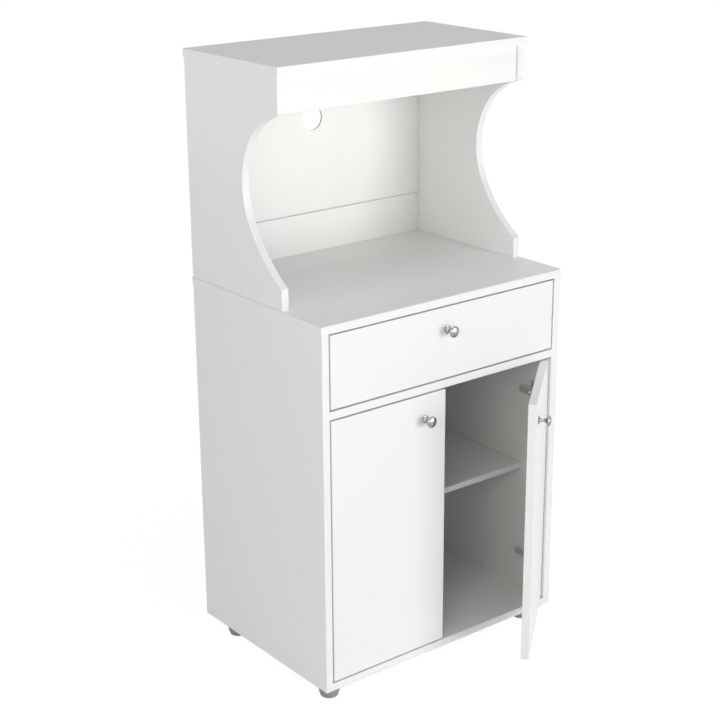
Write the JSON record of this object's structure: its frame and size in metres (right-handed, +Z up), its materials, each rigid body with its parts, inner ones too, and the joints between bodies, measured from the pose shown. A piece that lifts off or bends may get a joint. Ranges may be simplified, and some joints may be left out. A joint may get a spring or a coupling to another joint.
{
  "type": "microwave stand with drawer",
  "caption": "White microwave stand: base cabinet with inset drawer over two inset doors and a shelf, and an open hutch with round-cut sides and a cable hole.",
  "frame": {"origin": "on the floor, under the middle of the bounding box of the stand with its right door standing open", "axes": "+Z up, +Y towards the back, the front faces -Y, +X to the right seen from the front"},
  "size_m": [0.604, 0.602, 1.213],
  "materials": {
    "white_board": "white melamine foil on particle board, satin",
    "white_hardboard": "white lacquered hardboard, satin",
    "foot_plastic": "dark grey moulded plastic, matte",
    "roller_plastic": "off-white nylon",
    "slide_steel": "white powder-coated steel sheet",
    "knob_metal": "satin nickel-plated, turned",
    "hinge_nickel": "nickel-plated steel",
    "beech_wood": "plain beech",
    "zinc_fittings": "zinc-plated steel"
  },
  "bodies": {
    "cabinet": {"bottom_panel": "white_board", "left_side_panel": "white_board", "right_side_panel": "white_board", "countertop": "white_board", "drawer_divider": "white_board", "cupboard_shelf": "white_board", "left_hutch_side": "white_board", "right_hutch_side": "white_board", "hutch_top": "white_board", "hutch_header": "white_board", "cabinet_back": "white_hardboard", "lower_hutch_back": "white_hardboard", "upper_hutch_back": "white_hardboard", "front_left_foot": "foot_plastic", "front_right_foot": "foot_plastic", "rear_left_foot": "foot_plastic", "rear_right_foot": "foot_plastic", "left_slide_rail": "slide_steel", "right_slide_rail": "slide_steel", "lower_left_hinge_arm": "hinge_nickel", "upper_left_hinge_arm": "hinge_nickel", "lower_right_hinge_arm": "hinge_nickel", "upper_right_hinge_arm": "hinge_nickel", "hinge_plates": "hinge_nickel", "hinge_pins": "hinge_nickel", "hinge_arm_screws": "hinge_nickel", "cam_bolts": "zinc_fittings", "cam_discs": "zinc_fittings", "wood_dowels": "beech_wood", "confirmat_screws": "zinc_fittings", "back_nails": "zinc_fittings", "shelf_pins": "zinc_fittings", "cabinet_screws": "zinc_fittings"},
    "drawer": {"drawer_front": "white_board", "left_drawer_side": "white_board", "right_drawer_side": "white_board", "drawer_back": "white_board", "drawer_bottom": "white_hardboard", "drawer_knob": "knob_metal", "drawer_knob_screw": "zinc_fittings", "left_drawer_runner": "slide_steel", "right_drawer_runner": "slide_steel", "drawer_cam_bolts": "zinc_fittings", "drawer_cam_discs": "zinc_fittings", "drawer_back_screws": "zinc_fittings", "runner_screws": "zinc_fittings"},
    "left_door": {"left_door": "white_board", "left_door_knob": "knob_metal", "left_door_knob_screw": "zinc_fittings", "left_hinge_cups": "hinge_nickel", "left_cup_screws": "zinc_fittings"},
    "right_door": {"right_door": "white_board", "right_door_knob": "knob_metal", "right_door_knob_screw": "zinc_fittings", "right_hinge_cups": "hinge_nickel", "right_cup_screws": "zinc_fittings"},
    "left_front_roller": {"left_front_roller": "roller_plastic"},
    "right_front_roller": {"right_front_roller": "roller_plastic"},
    "left_rear_roller": {"left_rear_roller": "roller_plastic"},
    "right_rear_roller": {"right_rear_roller": "roller_plastic"}
  },
  "joints": [
    {"name": "drawer_slide", "type": "slide", "parent": "cabinet", "child": "drawer", "axis": [0, -1, 0], "range_m": [0, 0.26]},
    {"name": "left_door_hinge", "type": "hinge", "parent": "cabinet", "child": "left_door", "pos_m": [-0.272, -0.11965, 0.281], "axis": [0, 0, -1], "range_deg": [0, 98]},
    {"name": "right_door_hinge", "type": "hinge", "parent": "cabinet", "child": "right_door", "pos_m": [0.272, -0.11965, 0.281], "axis": [0, 0, 1], "range_deg": [-40.8, 57.2]},
    {"name": "left_front_roller_spin", "type": "hinge", "parent": "cabinet", "child": "left_front_roller", "pos_m": [-0.27785, -0.09605, 0.61335], "axis": [1, 0, 0], "continuous": true},
    {"name": "left_rear_roller_spin", "type": "hinge", "parent": "drawer", "child": "left_rear_roller", "pos_m": [-0.27645, 0.22595, 0.61295], "axis": [1, 0, 0], "continuous": true},
    {"name": "right_front_roller_spin", "type": "hinge", "parent": "cabinet", "child": "right_front_roller", "pos_m": [0.27785, -0.09605, 0.61335], "axis": [1, 0, 0], "continuous": true},
    {"name": "right_rear_roller_spin", "type": "hinge", "parent": "drawer", "child": "right_rear_roller", "pos_m": [0.27645, 0.22595, 0.61295], "axis": [1, 0, 0], "continuous": true}
  ],
  "couplings": [
    {"joint": "left_front_roller_spin", "follows": "drawer_slide", "rad_per_m": 105.26},
    {"joint": "left_rear_roller_spin", "follows": "drawer_slide", "rad_per_m": 138.89},
    {"joint": "right_front_roller_spin", "follows": "drawer_slide", "rad_per_m": 105.26},
    {"joint": "right_rear_roller_spin", "follows": "drawer_slide", "rad_per_m": 138.89}
  ]
}
